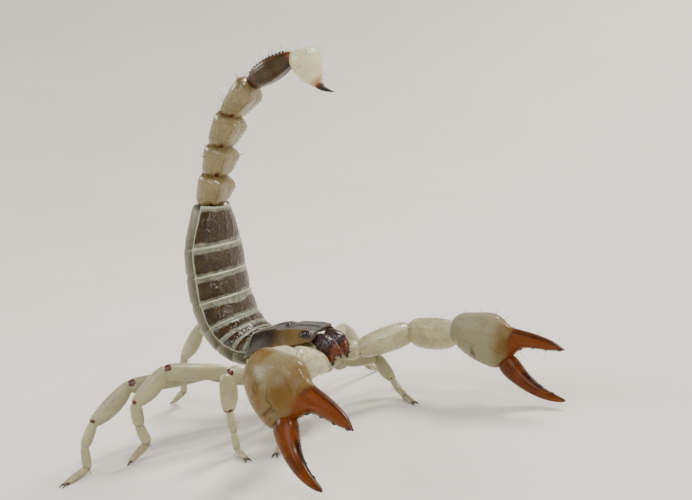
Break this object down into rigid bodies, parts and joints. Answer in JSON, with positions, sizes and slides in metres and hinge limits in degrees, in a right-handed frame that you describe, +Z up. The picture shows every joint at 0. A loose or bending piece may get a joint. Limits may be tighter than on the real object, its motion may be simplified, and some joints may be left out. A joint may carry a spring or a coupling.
{
  "type": "scorpion",
  "caption": "Life-size still model of a large-clawed desert scorpion in its threat stance: pincers open and low, trunk reared upright and the tail curled over.",
  "frame": {"origin": "middle of the footprint's bounding box, at floor level", "axes": "+Z up; the head faces -Y and the animal's left side is +X"},
  "size_m": [0.0414, 0.0498, 0.0376],
  "materials": {
    "shield": "yellow-brown, darker lobes, glossy and fine-grained",
    "back_plate": "dark brown, glossy and granular, pale rear edges",
    "soft_skin": "grey-green, satin",
    "straw_cuticle": "translucent straw, glossy",
    "cream_cuticle": "creamy white, glossy",
    "ivory_cuticle": "translucent ivory, glossy",
    "leg_cuticle": "translucent ivory-green, glossy",
    "orange_horn": "orange-brown to dark red, glossy",
    "dark_horn": "dark red-brown to black, polished",
    "eye": "black, polished"
  },
  "bodies": {
    "root": {"carapace": "shield", "eye_median_left": "eye", "eye_median_right": "eye", "eyes_lateral_left": "eye", "eyes_lateral_right": "eye", "chelicera_left": "dark_horn", "chelicera_right": "dark_horn", "tergite_1": "back_plate", "tergite_2": "back_plate", "tergite_3": "back_plate", "tergite_4": "back_plate", "tergite_5": "back_plate", "tergite_6": "back_plate", "tergite_7": "back_plate", "belly": "soft_skin", "tail_segment_1": "straw_cuticle", "tail_segment_2": "straw_cuticle", "tail_segment_3": "straw_cuticle", "tail_segment_4": "straw_cuticle", "tail_segment_5": "straw_cuticle", "telson_vesicle": "cream_cuticle", "telson_sting": "dark_horn", "leg_left_1_femur": "leg_cuticle", "leg_left_1_patella": "leg_cuticle", "leg_left_1_foot": "leg_cuticle", "leg_left_2_femur": "leg_cuticle", "leg_left_2_patella": "leg_cuticle", "leg_left_2_foot": "leg_cuticle", "leg_left_3_femur": "leg_cuticle", "leg_left_3_patella": "leg_cuticle", "leg_left_3_foot": "leg_cuticle", "leg_left_4_femur": "leg_cuticle", "leg_left_4_patella": "leg_cuticle", "leg_left_4_foot": "leg_cuticle", "leg_right_1_femur": "leg_cuticle", "leg_right_1_patella": "leg_cuticle", "leg_right_1_foot": "leg_cuticle", "leg_right_2_femur": "leg_cuticle", "leg_right_2_patella": "leg_cuticle", "leg_right_2_foot": "leg_cuticle", "leg_right_3_femur": "leg_cuticle", "leg_right_3_patella": "leg_cuticle", "leg_right_3_foot": "leg_cuticle", "leg_right_4_femur": "leg_cuticle", "leg_right_4_patella": "leg_cuticle", "leg_right_4_foot": "leg_cuticle", "arm_left_trochanter": "ivory_cuticle", "arm_left_femur": "ivory_cuticle", "arm_left_patella": "ivory_cuticle", "arm_left_hand": "ivory_cuticle", "arm_left_finger": "orange_horn", "arm_right_trochanter": "ivory_cuticle", "arm_right_femur": "ivory_cuticle", "arm_right_patella": "ivory_cuticle", "arm_right_hand": "ivory_cuticle", "arm_right_finger": "orange_horn", "coxal_plate": "soft_skin", "comb_left": "ivory_cuticle", "comb_right": "ivory_cuticle"}
  },
  "joints": []
}
